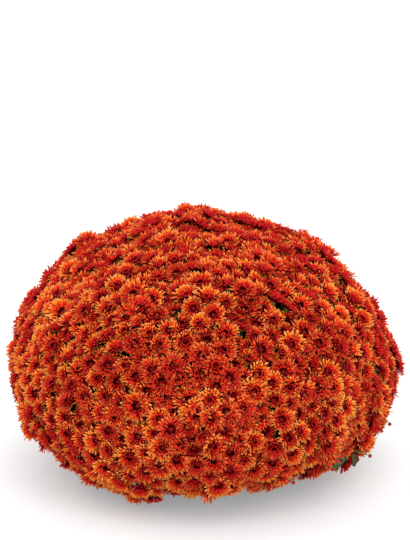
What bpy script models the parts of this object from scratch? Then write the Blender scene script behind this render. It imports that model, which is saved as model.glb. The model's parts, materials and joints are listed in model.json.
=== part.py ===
"""A cushion chrysanthemum in full bloom, cut off at its base and standing on a surface.

A short woody crown stands on its cut end, on the axis. One green stem for each flower spray grows
out of it and carries the spray on its tip. The sprays fit together into a round cushion of flowers,
domed above its waist and tucked in below it. Basal leaves grow from the crown's foot and lie on the
surface, just inside the cushion's lower edge. The origin is on the axis, on the surface.
"""

import math

import bmesh
import bpy
import numpy as np
from mathutils import Vector
from mathutils.bvhtree import BVHTree

# The cushion of flowers
CUSHION_RADIUS = 0.300  # the axis to the faces of the flowers at the waist
WAIST_HEIGHT = 0.150  # where the cushion is widest
DOME_RISE = 0.257  # from the waist to the top
SKIRT_DROP = 0.163  # from the waist to where the skirt's curve would close
SKIRT_FULLNESS = 2.2  # the exponent of the skirt's superellipse, where 2 is an ellipse
SKIRT_CLEARANCE = 0.012  # the skirt's lower edge above the surface
DOME_RINGS = 10
SKIRT_RINGS = 7
CUSHION_SEGMENTS = 36

# The sprays: flower heads with their own stalks and the leaves among them
SPRAY_COUNT = 26
SPRAY_DEPTH = 0.040  # from the faces of the flowers to where the stalks meet the stem
NEIGHBOUR_GAP = 0.0006  # between two sprays
SEAT_GAP = 0.0003  # between the crown and the stems and leaves that grow out of it
SPRAY_SEAT_GAP = 0.0008  # between a stem's flat tip and its spray, whose facets slant a little

# The woody crown
CROWN_RADIUS = 0.024
CROWN_CENTRE_HEIGHT = 0.030  # the centre of its round head
CROWN_NECK_RADIUS = 0.0215
CROWN_NECK_FOOT_HEIGHT = 0.008
CUT_END_RADIUS = 0.018
CROWN_HEAD_STEPS = 9
CROWN_SEGMENTS = 24

# The stems
STEM_FOOT_RADIUS = 0.0029
STEM_TIP_RADIUS = 0.0020
STEM_POINTS = 8
STEM_SIDES_RESOLUTION = 2
STEM_STRAIGHTNESS = 0.36  # the share of its reach for which a stem keeps each end's direction
CROWN_SPREAD = math.radians(76)  # the lowest stem's foot, measured from the crown's top

# The basal leaves
LEAF_COUNT = 7
LEAF_THICKNESS = 0.0016
LEAF_STALK_HALF_WIDTH = 0.0018
LEAF_FOOT_HEIGHT = 0.014
LEAF_REACH = 0.134  # the axis to the leaf's tip
LEAF_BLADE_LENGTH = 0.070
LEAF_HALF_WIDTH = 0.026
LEAF_MARGIN_POINTS = 20  # along each side of the blade
LEAF_LOBES = 3
LEAF_NOTCH_DEPTH = 0.34  # the notch between two lobes, as a share of the half width

GOLDEN_ANGLE = math.pi * (3 - math.sqrt(5))
CELL_SIZE = 2.0  # the block that a spray's space is cut from, larger than the whole plant

PETAL_COLOUR = (0.62, 0.10, 0.012, 1)
STEM_COLOUR = (0.12, 0.20, 0.05, 1)
LEAF_COLOUR = (0.03, 0.08, 0.02, 1)
WOOD_COLOUR = (0.16, 0.10, 0.06, 1)


def clear_scene():
    for old in list(bpy.data.objects):
        bpy.data.objects.remove(old)


def collection(name):
    made = bpy.data.collections.new(name)
    bpy.context.scene.collection.children.link(made)
    return made


def material(name, colour, roughness):
    made = bpy.data.materials.new(name)
    made.use_nodes = True
    shader = made.node_tree.nodes["Principled BSDF"]
    shader.inputs["Base Color"].default_value = colour
    shader.inputs["Roughness"].default_value = roughness
    return made


def cushion_profile(turn):
    """Radius and height on the cushion's outline, from its top at 0 by its waist at a quarter turn.

    Above the waist it is a quarter of an ellipse, and below it of a superellipse.
    """
    if turn <= math.pi / 2:
        return CUSHION_RADIUS * math.sin(turn), WAIST_HEIGHT + DOME_RISE * math.cos(turn)
    below = turn - math.pi / 2
    power = 2 / SKIRT_FULLNESS
    radius = CUSHION_RADIUS * math.cos(below) ** power
    return radius, WAIST_HEIGHT - SKIRT_DROP * math.sin(below) ** power


def cushion_normal(turn):
    """The outline's outward direction, square to the chord through two near points on it."""
    near = 1e-4
    before, after = cushion_profile(max(turn - near, 0)), cushion_profile(turn + near)
    run = Vector((after[0] - before[0], after[1] - before[1])).normalized()
    return Vector((-run[1], run[0]))


def skirt_edge_turn():
    """The turn at which the skirt's curve comes down to its clearance above the surface."""
    share = (WAIST_HEIGHT - SKIRT_CLEARANCE) / SKIRT_DROP
    return math.pi / 2 + math.asin(share ** (SKIRT_FULLNESS / 2))


def cushion_wall():
    """The half section of the cushion: down its outer side, in at its edge and up its inner side."""
    edge = skirt_edge_turn()
    turns = [math.pi / 2 * i / DOME_RINGS for i in range(DOME_RINGS)]
    turns += [math.pi / 2 + (edge - math.pi / 2) * i / SKIRT_RINGS for i in range(SKIRT_RINGS + 1)]
    outer = [Vector(cushion_profile(turn)) for turn in turns]
    inner = [point - SPRAY_DEPTH * cushion_normal(turn) for point, turn in zip(outer, turns)]
    inner[0].x = 0
    return outer + inner[::-1]


def turned(name, half_section, segments, home):
    """A half section at +X, turned once around the vertical axis."""
    mesh = bpy.data.meshes.new(name)
    points = [(x, 0, z) for x, z in half_section]
    mesh.from_pydata(points, [(i, i + 1) for i in range(len(points) - 1)], [])
    made = bpy.data.objects.new(name, mesh)
    home.objects.link(made)
    screw = made.modifiers.new("turn", "SCREW")
    screw.steps = screw.render_steps = segments
    screw.use_merge_vertices = True
    screw.merge_threshold = 1e-4
    return made


def evaluated_mesh(source, name):
    """A welded mesh of the object as its modifiers or its curve leave it."""
    bpy.context.view_layer.update()
    mesh = bpy.data.meshes.new_from_object(source.evaluated_get(bpy.context.evaluated_depsgraph_get()))
    mesh.name = name
    work = bmesh.new()
    work.from_mesh(mesh)
    bmesh.ops.remove_doubles(work, verts=work.verts, dist=1e-5)
    bmesh.ops.recalc_face_normals(work, faces=work.faces)
    work.to_mesh(mesh)
    work.free()
    return mesh


def spray_seats():
    """Each spray's place on the cushion: its turn from the top and its compass angle.

    The turns divide the cushion's surface into equal areas, and the compass angles step by the
    golden angle, so that no two sprays crowd each other.
    """
    turns = np.linspace(0, skirt_edge_turn(), 2001)
    outline = np.array([cushion_profile(turn) for turn in turns])
    steps = np.linalg.norm(np.diff(outline, axis=0), axis=1)
    bands = steps * (outline[1:, 0] + outline[:-1, 0]) / 2
    covered = np.concatenate([[0], np.cumsum(bands)]) / bands.sum()
    shares = (np.arange(SPRAY_COUNT) + 0.5) / SPRAY_COUNT
    return [(float(t), GOLDEN_ANGLE * i) for i, t in enumerate(np.interp(shares, covered, turns))]


def around(compass, radius, height):
    return Vector((radius * math.cos(compass), radius * math.sin(compass), height))


def spray_space(name, centres, index, home):
    """The block of space that is nearer to this spray's centre than to any other, less half a gap."""
    own = centres[index]
    block = bmesh.new()
    bmesh.ops.create_cube(block, size=CELL_SIZE)
    for other in centres[:index] + centres[index + 1 :]:
        towards = (other - own).normalized()
        border = (own + other) / 2 - towards * NEIGHBOUR_GAP / 2
        everything = block.verts[:] + block.edges[:] + block.faces[:]
        cut = bmesh.ops.bisect_plane(
            block, geom=everything, plane_co=border, plane_no=towards, clear_outer=True
        )
        rim = [item for item in cut["geom_cut"] if isinstance(item, bmesh.types.BMEdge)]
        if rim:
            bmesh.ops.contextual_create(block, geom=rim)
    bmesh.ops.recalc_face_normals(block, faces=block.faces)
    mesh = bpy.data.meshes.new(name)
    block.to_mesh(mesh)
    block.free()
    made = bpy.data.objects.new(name, mesh)
    made.hide_render = True
    made.display_type = "WIRE"
    home.objects.link(made)
    return made


def make_sprays(plant, cutters):
    """The cushion's wall, divided among the sprays. Returns the undivided wall's mesh."""
    wall = turned("cushion_wall", cushion_wall(), CUSHION_SEGMENTS, cutters)
    wall.hide_render = True
    wall.display_type = "WIRE"
    wall_mesh = evaluated_mesh(wall, "cushion_wall_turned")
    wall_mesh.materials.append(material("ray florets", PETAL_COLOUR, 0.6))
    centres = [around(compass, *cushion_profile(turn)) for turn, compass in spray_seats()]
    for index in range(SPRAY_COUNT):
        name = f"flower_spray_{index + 1:02d}"
        spray = bpy.data.objects.new(name, wall_mesh.copy())
        plant.objects.link(spray)
        share = spray.modifiers.new("own share", "BOOLEAN")
        share.operation = "INTERSECT"
        share.solver = "EXACT"
        share.object = spray_space(f"space_of_{name}", centres, index, cutters)
    return wall_mesh


def make_crown(plant):
    """The stump of old wood: a round head, a straight neck and a foot that narrows to the cut."""
    neck_angle = math.pi - math.asin(CROWN_NECK_RADIUS / CROWN_RADIUS)
    arc = [neck_angle * i / CROWN_HEAD_STEPS for i in range(CROWN_HEAD_STEPS + 1)]
    head = [
        (CROWN_RADIUS * math.sin(a), CROWN_CENTRE_HEIGHT + CROWN_RADIUS * math.cos(a)) for a in arc
    ]
    section = head + [(CROWN_NECK_RADIUS, CROWN_NECK_FOOT_HEIGHT), (CUT_END_RADIUS, 0), (0, 0)]
    crown = turned("woody_crown", section, CROWN_SEGMENTS, plant)
    crown.data.materials.append(material("old wood", WOOD_COLOUR, 0.85))


def bezier(start, leave, arrive, end, share):
    rest = 1 - share
    return (
        rest**3 * start
        + 3 * rest**2 * share * leave
        + 3 * rest * share**2 * arrive
        + share**3 * end
    )


def make_stems(plant, wall_mesh):
    """One stem a spray, from the crown's round head to the middle of the spray's inner face."""
    green = material("green stem", STEM_COLOUR, 0.6)
    edge = skirt_edge_turn()
    wall = BVHTree.FromPolygons(
        [corner.co for corner in wall_mesh.vertices], [face.vertices for face in wall_mesh.polygons]
    )
    for index, (turn, compass) in enumerate(spray_seats()):
        lean = CROWN_SPREAD * turn / edge
        leave_way = around(compass, math.sin(lean), math.cos(lean))
        foot = Vector((0, 0, CROWN_CENTRE_HEIGHT)) + (CROWN_RADIUS + SEAT_GAP) * leave_way
        face = cushion_normal(turn)
        arrive_way = around(compass, face[0], face[1])
        inside = around(compass, *cushion_profile(turn)) - 2 * SPRAY_DEPTH * arrive_way
        seat = wall.ray_cast(inside, arrive_way)[0]
        tip = seat - SPRAY_SEAT_GAP * arrive_way
        reach = STEM_STRAIGHTNESS * (tip - foot).length
        leave, arrive = foot + reach * leave_way, tip - reach * arrive_way
        path = bpy.data.curves.new(f"stem_{index + 1:02d}", "CURVE")
        path.dimensions = "3D"
        path.bevel_depth = 1.0
        path.bevel_resolution = STEM_SIDES_RESOLUTION
        path.use_fill_caps = True
        spline = path.splines.new("POLY")
        spline.points.add(STEM_POINTS - 1)
        for step, point in enumerate(spline.points):
            share = step / (STEM_POINTS - 1)
            point.co = (*bezier(foot, leave, arrive, tip, share), 1)
            point.radius = STEM_FOOT_RADIUS + (STEM_TIP_RADIUS - STEM_FOOT_RADIUS) * share
        path.materials.append(green)
        plant.objects.link(bpy.data.objects.new(path.name, path))


def leaf_half_width(along):
    """Half the blade's width at a share of its length: a rounded blade cut into blunt lobes."""
    blade = math.sin(math.pi * along**0.8) ** 0.7
    lobes = 1 - LEAF_NOTCH_DEPTH * (0.5 + 0.5 * math.cos(2 * math.pi * LEAF_LOBES * along))
    return max(LEAF_HALF_WIDTH * blade * lobes, LEAF_STALK_HALF_WIDTH)


def make_leaves(plant):
    """Flat lobed leaves, each with its stalk, that slope from the crown's foot down to their tips."""
    green = material("leaf", LEAF_COLOUR, 0.55)
    foot = CROWN_NECK_RADIUS + SEAT_GAP
    length = LEAF_REACH - foot
    stalk = length - LEAF_BLADE_LENGTH
    shares = [(i + 0.5) / LEAF_MARGIN_POINTS for i in range(LEAF_MARGIN_POINTS)]
    side = [(0, LEAF_STALK_HALF_WIDTH)]
    side += [(stalk + LEAF_BLADE_LENGTH * share, leaf_half_width(share)) for share in shares]
    outline = side + [(length, 0)] + [(x, -y) for x, y in side[::-1]]
    slope = math.atan2(LEAF_FOOT_HEIGHT - LEAF_THICKNESS / 2, length)
    for index in range(LEAF_COUNT):
        name = f"basal_leaf_{index + 1:02d}"
        flat = bpy.data.curves.new(name, "CURVE")
        flat.dimensions = "2D"
        flat.fill_mode = "BOTH"
        flat.extrude = LEAF_THICKNESS / 2
        spline = flat.splines.new("POLY")
        spline.points.add(len(outline) - 1)
        for point, (x, y) in zip(spline.points, outline):
            point.co = (x, y, 0, 1)
        spline.use_cyclic_u = True
        compass = 2 * math.pi * (index + 0.3) / LEAF_COUNT
        flat.materials.append(green)
        leaf = bpy.data.objects.new(name, flat)
        leaf.location = around(compass, foot, LEAF_FOOT_HEIGHT)
        leaf.rotation_euler = (0, slope, compass)
        plant.objects.link(leaf)


clear_scene()
plant_collection = collection("cushion_chrysanthemum")
cutter_collection = collection("cutters")
cushion = make_sprays(plant_collection, cutter_collection)
make_crown(plant_collection)
make_stems(plant_collection, cushion)
make_leaves(plant_collection)
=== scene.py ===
"""A cushion chrysanthemum in full bloom, cut at its base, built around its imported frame.

The sections follow the plant: where its flower heads sit, their ray florets, disc florets, bracts
and stalks, the buds and the leaves among them, and then the stems, the basal leaves and the woody
crown that carry them all. The floor, the light and the camera come last.
"""

import json

import bpy
import numpy as np
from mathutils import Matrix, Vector

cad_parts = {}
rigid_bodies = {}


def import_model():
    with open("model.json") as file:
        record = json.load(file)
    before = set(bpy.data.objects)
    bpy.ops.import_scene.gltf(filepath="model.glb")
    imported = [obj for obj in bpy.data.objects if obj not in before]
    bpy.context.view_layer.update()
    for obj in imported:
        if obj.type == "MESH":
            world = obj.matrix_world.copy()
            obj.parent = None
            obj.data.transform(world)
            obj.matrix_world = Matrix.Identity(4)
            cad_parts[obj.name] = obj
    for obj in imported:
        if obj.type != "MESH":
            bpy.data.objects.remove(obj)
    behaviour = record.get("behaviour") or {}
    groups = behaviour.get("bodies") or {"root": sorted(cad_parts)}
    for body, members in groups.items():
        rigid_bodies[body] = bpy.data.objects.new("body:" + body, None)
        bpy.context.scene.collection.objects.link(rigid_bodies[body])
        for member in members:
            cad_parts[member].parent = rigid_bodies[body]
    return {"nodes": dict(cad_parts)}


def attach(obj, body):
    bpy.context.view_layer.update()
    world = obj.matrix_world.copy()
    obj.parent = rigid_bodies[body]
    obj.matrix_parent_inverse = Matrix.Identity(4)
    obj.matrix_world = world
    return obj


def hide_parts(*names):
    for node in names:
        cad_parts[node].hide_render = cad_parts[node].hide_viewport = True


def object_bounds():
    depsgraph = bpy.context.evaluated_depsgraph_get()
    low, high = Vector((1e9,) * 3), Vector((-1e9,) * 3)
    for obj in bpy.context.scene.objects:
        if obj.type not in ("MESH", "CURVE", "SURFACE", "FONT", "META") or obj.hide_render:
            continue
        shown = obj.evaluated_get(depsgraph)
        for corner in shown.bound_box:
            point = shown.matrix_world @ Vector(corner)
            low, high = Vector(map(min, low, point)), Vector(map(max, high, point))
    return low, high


for leftover in list(bpy.data.objects):
    bpy.data.objects.remove(leftover)
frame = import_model()
cad_low, cad_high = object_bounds()

# ----------
# Where the flower heads sit
# All the stalks of a cushion mum end at about the same distance from its crown, so that its flower
# heads close up into one rounded, slightly lumpy surface. It follows the frame's sprays: an ellipse
# above the waist and a superellipse below it. Each spray divides into branches of about 8 heads.

CUSHION_RADIUS = cad_high[0]
WAIST_HEIGHT = 0.150
DOME_RISE = cad_high[2] - WAIST_HEIGHT
SKIRT_DROP = 0.163
SKIRT_FULLNESS = 2.2
SKIRT_CLEARANCE = 0.012
SURFACE_CLEARANCE = 0.0004  # what hangs lowest is bent along the surface at this height
SPRAY_NODES = sorted(name for name in frame["nodes"] if name.startswith("flower_spray"))
BRANCH_COUNT = 182
BRANCH_DEPTH = 0.038  # from the faces of the flowers to where a branch divides into stalks
BRANCH_SHAKE = 0.006
GOLDEN_ANGLE = np.pi * (3 - np.sqrt(5))
chance = np.random.default_rng(20)


def unit(vectors):
    """The same directions at length 1: each divided by its own length."""
    return vectors / np.maximum(np.linalg.norm(vectors, axis=-1, keepdims=True), 1e-12)


def turned(first, second, angle):
    """Directions turned from the first towards the second: cosine times one, sine times the other."""
    return np.cos(angle)[..., None] * first + np.sin(angle)[..., None] * second


def carried_round(radius, height, angle):
    """Points at a radius from the axis and at a height, carried round the axis to an angle."""
    x = radius * np.cos(angle)
    return np.stack([x, radius * np.sin(angle), np.broadcast_to(height, x.shape)], -1)


def cushion_outline(turn):
    """Radius and height on the cushion's outline, for turns from its top at 0.

    Up to a quarter turn, at the waist, an ellipse: the radius follows the sine and the height the
    cosine. Past it a superellipse: both are those of an ellipse raised to 2 / fullness.
    """
    below = np.maximum(turn - np.pi / 2, 0)
    power = 2 / SKIRT_FULLNESS
    radius = np.where(turn < np.pi / 2, np.sin(turn), np.cos(below) ** power)
    rise = DOME_RISE * np.cos(np.minimum(turn, np.pi / 2))
    return CUSHION_RADIUS * radius, WAIST_HEIGHT + rise - SKIRT_DROP * np.sin(below) ** power


def cushion_point(turn, compass):
    """The outline's point at each turn, carried round the axis to each compass angle."""
    return carried_round(*cushion_outline(turn), compass)


def cushion_outward(turn, compass):
    """The surface's outward direction: square to the outline's chord between two near turns."""
    near = 1e-3
    before = np.stack(cushion_outline(np.maximum(turn - near, 0)), -1)
    after = np.stack(cushion_outline(turn + near), -1)
    run = unit(after - before)
    return carried_round(-run[..., 1], run[..., 0], compass)


def skirt_turn(height):
    """The turn at which the skirt's curve comes down to a height below the waist."""
    return np.pi / 2 + np.arcsin(((WAIST_HEIGHT - height) / SKIRT_DROP) ** (SKIRT_FULLNESS / 2))


LAST_TURN = skirt_turn(SKIRT_CLEARANCE)


def spread_over_cushion(count, first_compass, shake=0.0, last_turn=LAST_TURN):
    """Turns and compass angles of points that share the cushion's surface out evenly.

    The turns divide the surface into equal areas and the compass angles step by the golden angle.
    Then each point is shaken out of this order by a random distance, shake metres as a rule.
    """
    turns = np.linspace(0, last_turn, 4001)
    radius, height = cushion_outline(turns)
    steps = np.hypot(np.diff(radius), np.diff(height))
    covered = np.concatenate([[0], np.cumsum(steps * (radius[1:] + radius[:-1]) / 2)])
    turn = np.interp((np.arange(count) + 0.5) / count, covered / covered[-1], turns)
    compass = GOLDEN_ANGLE * np.arange(count) + first_compass
    around = chance.normal(0, shake, count) / np.maximum(cushion_outline(turn)[0], 0.02)
    down = chance.normal(0, shake, count) / CUSHION_RADIUS
    return np.minimum(np.abs(turn + down), last_turn), compass + around


def eased_apart(turn, compass, spacing, last_turn):
    """The same points after sixteen rounds in which each gives way to those nearer than spacing.

    A point moves away from each such neighbour by a seventh of what it lacks in distance, and is
    then put back on the cushion's surface at its new height, or below the top at its new radius.
    """
    for _ in range(16):
        points = cushion_point(turn, compass)
        apart = points[:, None] - points[None]
        distance = np.linalg.norm(apart, axis=-1) + 1e-9
        lack = np.where(distance < spacing, spacing - distance, 0)
        np.fill_diagonal(lack, 0)
        points = points + (apart * (lack / distance / 7)[..., None]).sum(1)
        radius = np.hypot(points[:, 0], points[:, 1])
        above = np.arctan2(radius / CUSHION_RADIUS, (points[:, 2] - WAIST_HEIGHT) / DOME_RISE)
        below = skirt_turn(np.clip(points[:, 2], SKIRT_CLEARANCE, WAIST_HEIGHT))
        turn = np.minimum(np.where(points[:, 2] > WAIST_HEIGHT, above, below), last_turn)
        compass = np.arctan2(points[:, 1], points[:, 0])
    return turn, compass


# Where a whole shoot stands out from the even surface or, below 0, hangs back: its compass angle in
# degrees, its turn from the top, and how far in metres
SHOOTS = (
    (131, 0.27, 0.0030), (173, 0.86, 0.0040), (182, 1.29, 0.0050), (196, 1.87, -0.0330),
    (220, 2.28, 0.0060), (252, 2.48, 0.0150), (274, 2.49, -0.0260), (298, 2.49, 0.0100),
    (326, 2.23, -0.0135), (339, 1.98, 0.0040), (356, 1.39, 0.0110), (6, 0.88, -0.0060),
    (24, 0.43, -0.0040),
)
SHOOT_WIDTH = 0.040
WAVE_HEIGHT = 0.003


def lumps(points):
    """How far the shoots stand proud of the even surface, in metres.

    The sum of six waves, 90 to 210 mm long, each a sine of the distance along its own direction,
    and of a bell curve of the distance from each of the shoots that stand out or hang back.
    """
    waves = np.random.default_rng(165)
    total = np.zeros(len(points))
    for length in np.linspace(0.09, 0.21, 6):
        direction = unit(waves.normal(0, 1, 3))
        phase = 2 * np.pi * (points @ direction) / length + waves.uniform(0, 6.3)
        total += WAVE_HEIGHT * np.sin(phase)
    for compass, turn, proud in SHOOTS:
        distance = np.linalg.norm(points - cushion_point(turn, np.radians(compass)), axis=1)
        total += proud * np.exp(-(distance**2) / (2 * SHOOT_WIDTH**2))
    return total


def sunk(turn, compass, depth):
    """Points at a depth under the lumpy surface, and its outward directions and even points."""
    outward = cushion_outward(turn, compass)
    tops = cushion_point(turn, compass)
    return tops - (depth - lumps(tops))[:, None] * outward, outward, tops


def nearest(points, centres):
    """The centre at the smallest distance from each point."""
    return ((points[:, None] - centres[None]) ** 2).sum(-1).argmin(1)


def widest_gaps(tops, count, last_turn):
    """Turns and compass angles of new heads, each put where all heads so far are farthest away."""
    turn, compass = spread_over_cushion(3000, 0.0, 0.0, last_turn)
    spots = cushion_point(turn, compass)
    clear = np.linalg.norm(spots[:, None] - tops[None], axis=-1).min(1)
    chosen = []
    for _ in range(count):
        chosen.append(clear.argmax())
        clear = np.minimum(clear, np.linalg.norm(spots - spots[chosen[-1]], axis=1))
    return turn[chosen], compass[chosen]


def frames_facing(outward, spin):
    """Three axes for each direction: two across it, turned about it by the spin, and itself."""
    helper = np.where(np.abs(outward[:, 2:]) < 0.9, [0.0, 0.0, 1.0], [1.0, 0.0, 0.0])
    first = unit(np.cross(helper, outward))
    across = turned(first, np.cross(outward, first), spin)
    return np.stack([across, np.cross(outward, across), outward], axis=1)


spray_turns, spray_compass = spread_over_cushion(len(SPRAY_NODES), 0.0)
spray_out = cushion_outward(spray_turns, spray_compass)
spray_points = cushion_point(spray_turns, spray_compass)
branches_spread = spread_over_cushion(BRANCH_COUNT, 0.3, BRANCH_SHAKE)
branch_points, branch_out, branch_tops = sunk(*branches_spread, BRANCH_DEPTH)
branch_spray = nearest(branch_tops, spray_points)

# The heads sit at different depths. They face outwards, leaning at random and a little upwards.
HEAD_COUNT = 1340
HEAD_SPACING = 0.027
LOWEST_HEAD = 0.024  # above the surface that the plant stands on
LOWEST_CENTRE = 0.019  # the stalks that would hang lower turn up where they meet the surface
HEAD_DEPTH = 0.0096
DEPTH_SPREAD = 0.0038
DEPTH_RANGE = 0.0115
HEAD_LEAN = 0.24
HEAD_LIFT = 0.14
SMALLEST_HEAD = 0.74
lowest_turn = skirt_turn(LOWEST_HEAD)
heads_spread = spread_over_cushion(HEAD_COUNT, 0.7, 0.30 * HEAD_SPACING, lowest_turn)
heads_spread = eased_apart(*heads_spread, 1.2 * HEAD_SPACING, lowest_turn)
head_depth = HEAD_DEPTH + np.minimum(chance.gamma(1.5, DEPTH_SPREAD, HEAD_COUNT), DEPTH_RANGE)
head_points, head_out, head_tops = sunk(*heads_spread, head_depth)
head_ways = unit(head_out + chance.normal(0, HEAD_LEAN, (HEAD_COUNT, 3)) + [0, 0, HEAD_LIFT])
head_axes = frames_facing(head_ways, chance.uniform(0, 2 * np.pi, HEAD_COUNT))
head_scale = chance.normal(1, 0.10, HEAD_COUNT).clip(SMALLEST_HEAD, 1.22)
head_opening = chance.normal(1, 0.22, HEAD_COUNT).clip(0.5, 1.6)

# Young heads are still half open, like cups, smaller and redder.
YOUNG_SHARE = 0.11
YOUNG_SCALE = 0.86
YOUNG_TINT = 0.45
young = chance.random(HEAD_COUNT) < YOUNG_SHARE
head_opening[young] = chance.uniform(1.8, 2.6, young.sum())
head_scale[young] *= YOUNG_SCALE

# Tints run from crimson at 0 to orange at 1, and differ at random from head to head. The heads nearer the
# cushion's sides, and those in its lowest 90 mm, are painted more orange: painted light, for the light
# that falls more fully on them.
MIDDLE_TINT = 0.65
SIDE_PAINTED_LIGHT = 2.0  # more for each metre from the middle
LOW_PAINTED_LIGHT = 0.45
LOW_PAINTED_LIGHT_BELOW = 0.090
LOW_PAINTED_LIGHT_BAND = 0.050
# The side term here and the low term below are painted light, which makes those heads more orange.
head_tint = (MIDDLE_TINT + SIDE_PAINTED_LIGHT * np.abs(head_tops[:, 0])) * chance.beta(1.2, 0.9, HEAD_COUNT)
head_tint[young] *= YOUNG_TINT
head_tint += LOW_PAINTED_LIGHT * ((LOW_PAINTED_LIGHT_BELOW - head_tops[:, 2]) / LOW_PAINTED_LIGHT_BAND).clip(0, 1)

# Late heads have opened small in the widest gaps, a few millimetres under the others. They are kept
# crimson: partly the flower's own red, partly painted shade for the shade among the other heads.
LATE_COUNT = 200
LATE_DEPTHS = (0.0165, 0.0215)
LATE_LEAN = 0.12
late_spread = widest_gaps(head_tops, LATE_COUNT, lowest_turn)
late_points, late_out, late_tops = sunk(*late_spread, chance.uniform(*LATE_DEPTHS, LATE_COUNT))
late_ways = unit(late_out + chance.normal(0, LATE_LEAN, (LATE_COUNT, 3)))
late_axes = frames_facing(late_ways, chance.uniform(0, 2 * np.pi, LATE_COUNT))
head_tops = np.append(head_tops, late_tops, 0)
head_points = np.append(head_points, late_points, 0)
head_points[:, 2] = np.maximum(head_points[:, 2], LOWEST_CENTRE)
head_axes = np.append(head_axes, late_axes, 0)
head_scale = np.append(head_scale, chance.uniform(SMALLEST_HEAD, 0.9, LATE_COUNT))
head_opening = np.append(head_opening, chance.uniform(0.7, 1.3, LATE_COUNT))
# Partly painted shade: the late heads' tints stay on the crimson side.
head_tint = np.append(head_tint, chance.uniform(0, 0.5, LATE_COUNT))
head_branch = nearest(head_tops, branch_tops)
head_spray = branch_spray[head_branch]


def piece(name, form, material, replaced=None):
    """A smooth object at the origin, from its points, its triangles and their chart corners."""
    points, faces, uv = form
    points = points.astype(np.float32)
    points[:, 2] = np.maximum(points[:, 2], SURFACE_CLEARANCE)
    mesh = bpy.data.meshes.new(name)
    mesh.vertices.add(len(points))
    mesh.vertices.foreach_set("co", points.ravel())
    mesh.loops.add(faces.size)
    mesh.loops.foreach_set("vertex_index", faces.astype(np.int32).ravel())
    mesh.polygons.add(len(faces))
    mesh.polygons.foreach_set("loop_start", np.arange(0, faces.size, 3, dtype=np.int32))
    mesh.polygons.foreach_set("use_smooth", np.ones(len(faces), bool))
    mesh.uv_layers.new(name="OFBake").uv.foreach_set("vector", uv.astype(np.float32).ravel())
    mesh.materials.append(material)
    mesh.update()
    made = bpy.data.objects.new(name, mesh)
    bpy.context.scene.collection.objects.link(made)
    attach(made, "root")
    if replaced:
        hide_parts(replaced)


# ----------
# Ray florets
# Each flower head is a shallow bowl of four rings of narrow strap-shaped florets, the inner ones shorter
# and more upright. A floret is one soft strap about 3 mm wide, widest near its tip and channelled along
# its middle. It is crimson at its foot and orange at its tip. Its edges are pale orange, partly its own
# colour and partly a painted highlight, and the florets on one side of each head are painted more orange,
# as painted light.

# Each ring: florets, length, slope at the foot, upward curl, width, and how much redder than the
# outer ring
FLORET_RINGS = (
    (33, 0.0174, 0.30, 0.07, 0.0030, 0.0),
    (33, 0.0157, 0.54, 0.06, 0.0028, 0.06),
    (27, 0.0129, 0.79, 0.04, 0.0026, 0.27),
    (21, 0.0093, 1.05, 0.00, 0.0024, 0.46),
)
FLORET_FOOT_REACH = 0.0028  # from the head's axis
FLORET_WIDEST = 0.84  # as a share of its length
FLORET_CHANNEL = 0.0005
FLORET_STEEPEST = 1.35
FLORET_ROLL = 0.30
FLORET_TINTS = 8  # the columns of the florets' paint chart
TINT_SPREAD = 0.18
PAINTED_LIGHT_SIDE = np.array([-0.05, 0.42, 0.06])  # towards it the florets are painted from crimson to orange, as painted light on each head's lit side
# Stops along a floret's face, from the reddest heads to the most orange, and along its back
CRIMSON_FACE = [(0, "#8C0612"), (0.55, "#B00810"), (0.85, "#C4140E"), (1, "#DE4824")]
ORANGE_FACE = [(0, "#A00414"), (0.42, "#C80A10"), (0.65, "#E83C10"), (0.84, "#F48820"), (1, "#FEB884")]
FLORET_BACK = [(0, "#7A0612"), (0.5, "#960A16"), (1, "#B41A16")]
FLORET_EDGE_AND_HIGHLIGHT = "#FA9E5E"


def linear(colour):
    """An sRGB hex value turned to linear red, green, blue and alpha."""
    parts = np.array([int(colour[i : i + 2], 16) for i in (1, 3, 5)]) / 255
    flat = np.where(parts <= 0.04045, parts / 12.92, ((parts + 0.055) / 1.055) ** 2.4)
    return (*flat.tolist(), 1.0)


def wired(made, links, values={}):
    """Sets a node's input values and links its inputs to outputs, or to nodes' first ones in use.

    A lone link goes to the first input.
    """
    for socket, value in values.items():
        made.inputs[socket].default_value = linear(value) if isinstance(value, str) else value
    for socket, source in (links if isinstance(links, dict) else {0: links}).items():
        if isinstance(source, bpy.types.Node):
            source = next(output for output in source.outputs if output.enabled)
        made.id_data.links.new(source, made.inputs[socket])
    return made


def node(material, kind, links, values={}, ramp=(), **settings):
    """Adds a shader node with its links, input values, ramp stops and settings."""
    made = material.node_tree.nodes.new("ShaderNode" + kind)
    for key, value in settings.items():
        setattr(made, key, value)
    for position, _ in ramp[1:-1]:
        made.color_ramp.elements.new(position)
    for index, (position, colour) in enumerate(ramp):
        made.color_ramp.elements[index].position = position
        made.color_ramp.elements[index].color = linear(colour)
    return wired(made, links, values)


def principled(name, **values):
    """A material and its Principled shader, with its even values set on its own sockets."""
    made = bpy.data.materials.new(name)
    made.use_nodes = True
    shader = made.node_tree.nodes["Principled BSDF"]
    return made, wired(shader, {}, {key.replace("_", " "): value for key, value in values.items()})


def shaded(material, colour, pattern, *span):
    """A colour made darker and lighter by a pattern: the span is two values and their brightness."""
    shade = node(material, "MapRange", pattern, dict(enumerate(span, 1)))
    return node(material, "VectorMath", {0: colour, "Scale": shade}, operation="SCALE")


def chart_place(material):
    """The place on a piece's paint chart, and the same split into u and v."""
    chart = node(material, "UVMap", {}, uv_map="OFBake")
    return chart, node(material, "SeparateXYZ", chart)


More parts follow.
